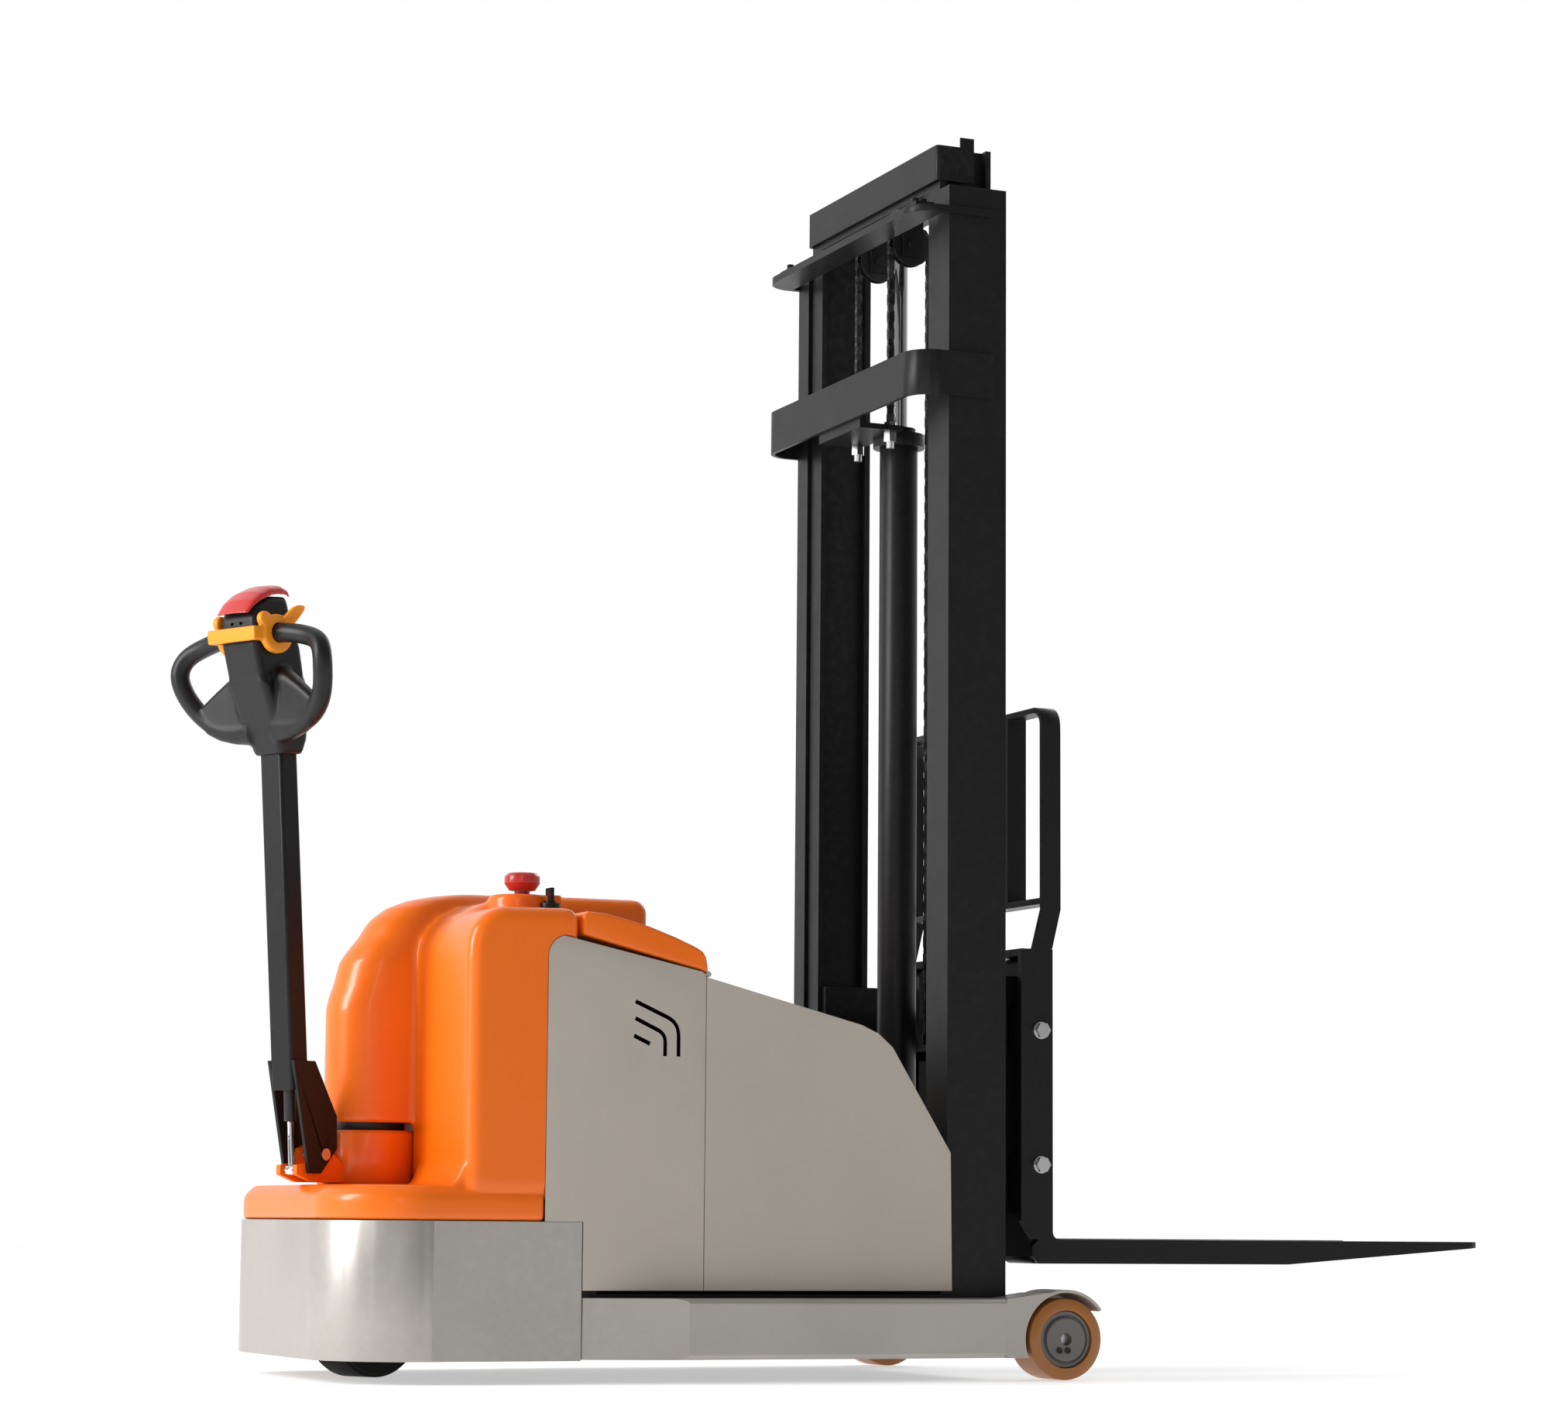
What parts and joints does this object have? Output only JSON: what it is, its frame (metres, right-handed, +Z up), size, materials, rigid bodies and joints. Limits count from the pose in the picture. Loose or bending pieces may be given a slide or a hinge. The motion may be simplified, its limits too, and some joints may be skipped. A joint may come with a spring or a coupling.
{
  "type": "walkie stacker",
  "caption": "Pedestrian pallet stacker with a two-stage mast, straddle legs, fork carriage with backrest, steered drive wheel and tiller.",
  "frame": {"origin": "on the floor, under the centre of the overall box", "axes": "+X towards the fork tips, +Y to the left of the truck, +Z up"},
  "size_m": [2.4029, 0.8, 2.192],
  "materials": {
    "orange_body": "glossy orange moulded plastic",
    "taupe_panel": "satin taupe-grey paint",
    "silver_paint": "satin silver-grey paint",
    "black_frame": "satin black powder coat",
    "black_plastic": "fine-grained moulding",
    "zinc_steel": "zinc plated",
    "chrome_rod": "polished",
    "chain_steel": "oiled steel",
    "machine_black": "semi-gloss black",
    "battery_case": "moulded",
    "load_tyre": "amber polyurethane",
    "hub_grey": "dark grey paint",
    "drive_rubber": "matt rubber",
    "red_button": "glossy red",
    "yellow_control": "glossy yellow-orange"
  },
  "bodies": {
    "chassis": {"chassis_frame": "black_frame", "rear_skirt": "silver_paint", "base_cover": "orange_body", "hood": "orange_body", "side_housing": "orange_body", "lid_hinge_pin": "zinc_steel", "left_door": "taupe_panel", "right_door": "taupe_panel", "front_cowl": "taupe_panel", "battery": "battery_case", "pump_unit": "machine_black", "controller": "zinc_steel", "left_leg": "silver_paint", "right_leg": "silver_paint", "fenders": "silver_paint", "load_axles": "zinc_steel", "switch_bases": "black_plastic", "left_outer_upright": "black_frame", "right_outer_upright": "black_frame", "mast_ties": "black_frame", "lift_cylinder": "black_frame", "chain_anchors": "zinc_steel", "rear_chains": "chain_steel"},
    "turret": {"turret": "orange_body", "drive_motor": "machine_black"},
    "drive_wheel": {"drive_tyre": "drive_rubber", "drive_hub": "zinc_steel"},
    "tiller": {"tiller_yoke": "black_frame", "pivot_pin": "zinc_steel", "tiller_arm": "black_frame", "tiller_head": "black_plastic", "handle_loops": "black_plastic"},
    "gas_spring_outer": {"gas_spring_tube": "machine_black"},
    "gas_spring_inner": {"gas_spring_rod": "chrome_rod"},
    "throttle": {"throttle_wings": "yellow_control"},
    "belly_pad": {"belly_button": "red_button"},
    "lift_switch": {"lift_button": "yellow_control"},
    "lower_switch": {"lower_button": "yellow_control"},
    "emergency_stop": {"stop_button": "red_button"},
    "key_switch": {"key": "black_plastic"},
    "battery_lid": {"battery_lid": "orange_body"},
    "left_load_wheel": {"left_tyre": "load_tyre", "left_hub": "hub_grey"},
    "right_load_wheel": {"right_tyre": "load_tyre", "right_hub": "hub_grey"},
    "inner_mast": {"left_inner_upright": "black_frame", "right_inner_upright": "black_frame", "inner_crossbars": "black_frame", "lift_rod": "chrome_rod", "front_chains": "chain_steel"},
    "pulleys": {"chain_pulleys": "chain_steel"},
    "mast_roller_pair": {"mast_rollers": "zinc_steel"},
    "inner_roller_pair": {"inner_rollers": "zinc_steel"},
    "upper_roller_pair": {"upper_carriage_rollers": "zinc_steel"},
    "lower_roller_pair": {"lower_carriage_rollers": "zinc_steel"},
    "carriage": {"carriage_frame": "black_frame", "backrest": "black_frame", "left_fork": "black_frame", "right_fork": "black_frame", "fork_bolts": "zinc_steel"}
  },
  "joints": [
    {"name": "steering", "type": "hinge", "parent": "chassis", "child": "turret", "pos_m": [-0.8425, 0, 0], "axis": [0, 0, 1], "range_deg": [-117, 63]},
    {"name": "drive_wheel_spin", "type": "hinge", "parent": "turret", "child": "drive_wheel", "pos_m": [-0.8425, 0, 0.115], "axis": [0.454, -0.891, 0], "continuous": true},
    {"name": "tiller_tilt", "type": "hinge", "parent": "turret", "child": "tiller", "pos_m": [-0.95922, -0.05947, 0.37], "axis": [0.454, -0.891, 0], "range_deg": [-4, 78]},
    {"name": "gas_spring_swing", "type": "hinge", "parent": "tiller", "child": "gas_spring_outer", "pos_m": [-1.013, -0.08687, 0.55907], "axis": [0.454, -0.891, 0], "range_deg": [-0.4, 5.9]},
    {"name": "gas_spring_stroke", "type": "slide", "parent": "gas_spring_outer", "child": "gas_spring_inner", "axis": [0.06, 0.0306, -0.9977], "range_m": [-0.066, 0.004]},
    {"name": "throttle_turn", "type": "hinge", "parent": "tiller", "child": "throttle", "pos_m": [-1.10118, -0.1318, 1.22799], "axis": [0.454, -0.891, 0], "range_deg": [-15, 15], "stiffness_Nm_per_rad": 0.8},
    {"name": "belly_push", "type": "slide", "parent": "tiller", "child": "belly_pad", "axis": [0.0715, 0.0364, -0.9968], "range_m": [0, 0.008], "stiffness_N_per_m": 900},
    {"name": "lift_push", "type": "slide", "parent": "tiller", "child": "lift_switch", "axis": [-0.8881, -0.4525, -0.0802], "range_m": [0, 0.002], "stiffness_N_per_m": 400},
    {"name": "lower_push", "type": "slide", "parent": "tiller", "child": "lower_switch", "axis": [-0.8881, -0.4525, -0.0802], "range_m": [0, 0.002], "stiffness_N_per_m": 400},
    {"name": "stop_push", "type": "slide", "parent": "chassis", "child": "emergency_stop", "axis": [0, 0, -1], "range_m": [0, 0.005]},
    {"name": "key_turn", "type": "hinge", "parent": "chassis", "child": "key_switch", "pos_m": [-0.6125, -0.249, 0.779], "axis": [0, 0, 1], "range_deg": [-80, 0]},
    {"name": "battery_lid_hinge", "type": "hinge", "parent": "chassis", "child": "battery_lid", "pos_m": [-0.3615, 0, 0.7], "axis": [0, 1, 0], "range_deg": [0, 70]},
    {"name": "left_load_wheel_spin", "type": "hinge", "parent": "chassis", "child": "left_load_wheel", "pos_m": [0.2845, 0.357, 0.069], "axis": [0, 1, 0], "continuous": true},
    {"name": "right_load_wheel_spin", "type": "hinge", "parent": "chassis", "child": "right_load_wheel", "pos_m": [0.2845, -0.357, 0.069], "axis": [0, 1, 0], "continuous": true},
    {"name": "inner_mast_lift", "type": "slide", "parent": "chassis", "child": "inner_mast", "axis": [0, 0, 1], "range_m": [-0.075, 1.38], "deforming": ["rear_chains"]},
    {"name": "carriage_lift", "type": "slide", "parent": "inner_mast", "child": "carriage", "axis": [0, 0, 1], "range_m": [-0.075, 1.38], "deforming": ["front_chains"]},
    {"name": "pulley_turn", "type": "hinge", "parent": "inner_mast", "child": "pulleys", "pos_m": [0.1365, 0, 2.04], "axis": [0, 1, 0], "continuous": true},
    {"name": "mast_roller_turn", "type": "hinge", "parent": "chassis", "child": "mast_roller_pair", "pos_m": [0.147, 0, 1.988], "axis": [0, 1, 0], "continuous": true},
    {"name": "inner_roller_turn", "type": "hinge", "parent": "inner_mast", "child": "inner_roller_pair", "pos_m": [0.14675, 0, 0.187], "axis": [0, 1, 0], "continuous": true},
    {"name": "upper_roller_turn", "type": "hinge", "parent": "carriage", "child": "upper_roller_pair", "pos_m": [0.147, 0, 0.65], "axis": [0, 1, 0], "continuous": true},
    {"name": "lower_roller_turn", "type": "hinge", "parent": "carriage", "child": "lower_roller_pair", "pos_m": [0.147, 0, 0.33], "axis": [0, 1, 0], "continuous": true}
  ],
  "couplings": [
    {"joint": "gas_spring_swing", "follows": "tiller_tilt", "ratio": 0.0725},
    {"joint": "gas_spring_stroke", "follows": "tiller_tilt", "m_per_rad": -0.0474},
    {"joint": "carriage_lift", "follows": "inner_mast_lift", "ratio": 1},
    {"joint": "pulley_turn", "follows": "inner_mast_lift", "rad_per_m": 25.974},
    {"joint": "mast_roller_turn", "follows": "inner_mast_lift", "rad_per_m": 24.876},
    {"joint": "inner_roller_turn", "follows": "inner_mast_lift", "rad_per_m": 22.753},
    {"joint": "upper_roller_turn", "follows": "inner_mast_lift", "rad_per_m": 24.876},
    {"joint": "lower_roller_turn", "follows": "inner_mast_lift", "rad_per_m": 24.876}
  ]
}
